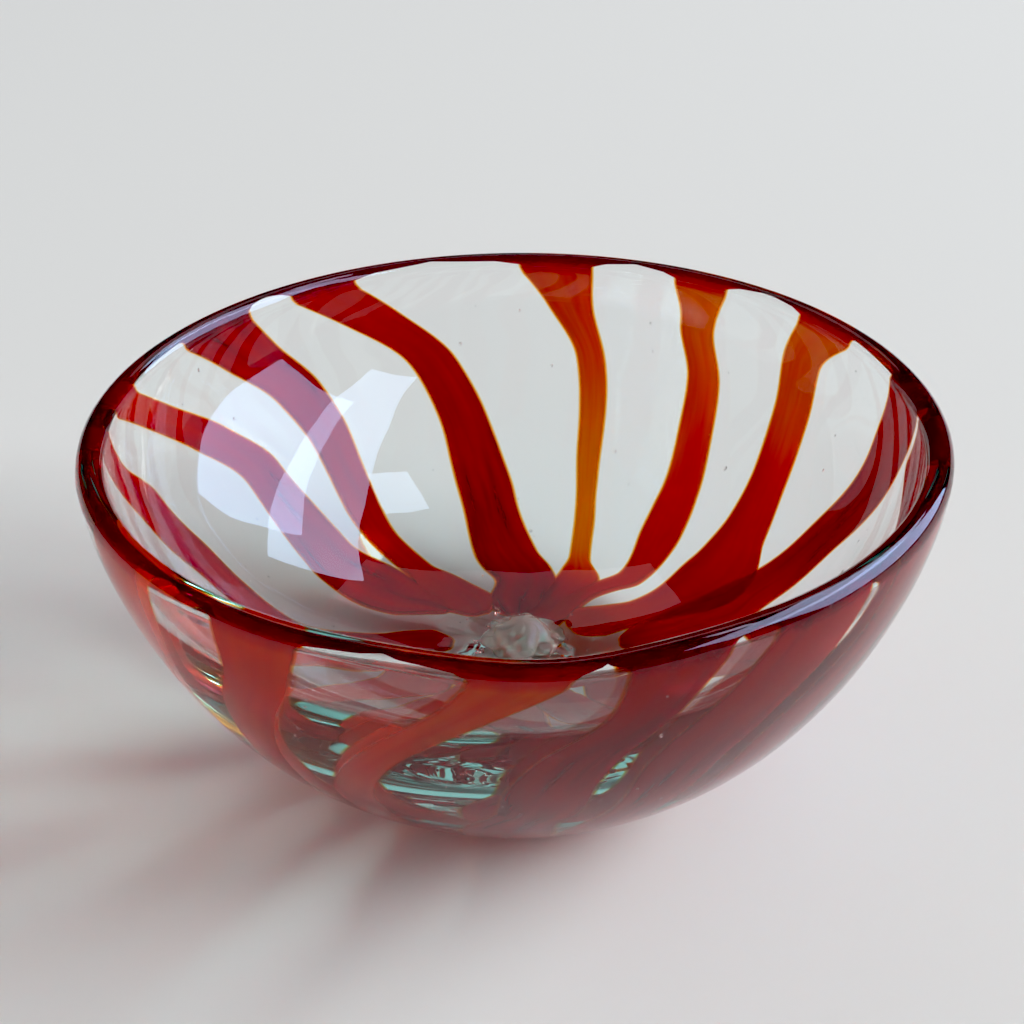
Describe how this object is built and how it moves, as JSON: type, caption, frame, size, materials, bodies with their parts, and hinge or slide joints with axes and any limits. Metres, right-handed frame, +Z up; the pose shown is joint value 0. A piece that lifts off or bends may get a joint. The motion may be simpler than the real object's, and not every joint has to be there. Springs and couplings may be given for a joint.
{
  "type": "art glass bowl",
  "caption": "Round heavy-based clear glass bowl with a rounded lip and swirling amber-to-ruby ribbons running from the lip to a twisted clear knot in the floor.",
  "frame": {"origin": "middle of the flat face under the bowl, on the surface it stands on", "axes": "+Z up along the bowl's axis, -Y towards the side seen from the front, +X to its right"},
  "size_m": [0.15, 0.15, 0.0665],
  "materials": {
    "clear_glass": "clear blown glass, very slightly aqua, fire polished",
    "ribbon_glass": "transparent striking glass, amber where thin and ruby where thick"
  },
  "bodies": {
    "root": {"inner_gather": "clear_glass", "outer_casing": "clear_glass", "center_knot": "clear_glass", "ribbon_01": "ribbon_glass", "ribbon_02": "ribbon_glass", "ribbon_03": "ribbon_glass", "ribbon_04": "ribbon_glass", "ribbon_05": "ribbon_glass", "ribbon_06": "ribbon_glass", "ribbon_07": "ribbon_glass", "ribbon_08": "ribbon_glass", "ribbon_09": "ribbon_glass", "ribbon_10": "ribbon_glass", "ribbon_11": "ribbon_glass", "ribbon_12": "ribbon_glass", "ribbon_13": "ribbon_glass", "ribbon_14": "ribbon_glass", "ribbon_15": "ribbon_glass"}
  },
  "joints": []
}
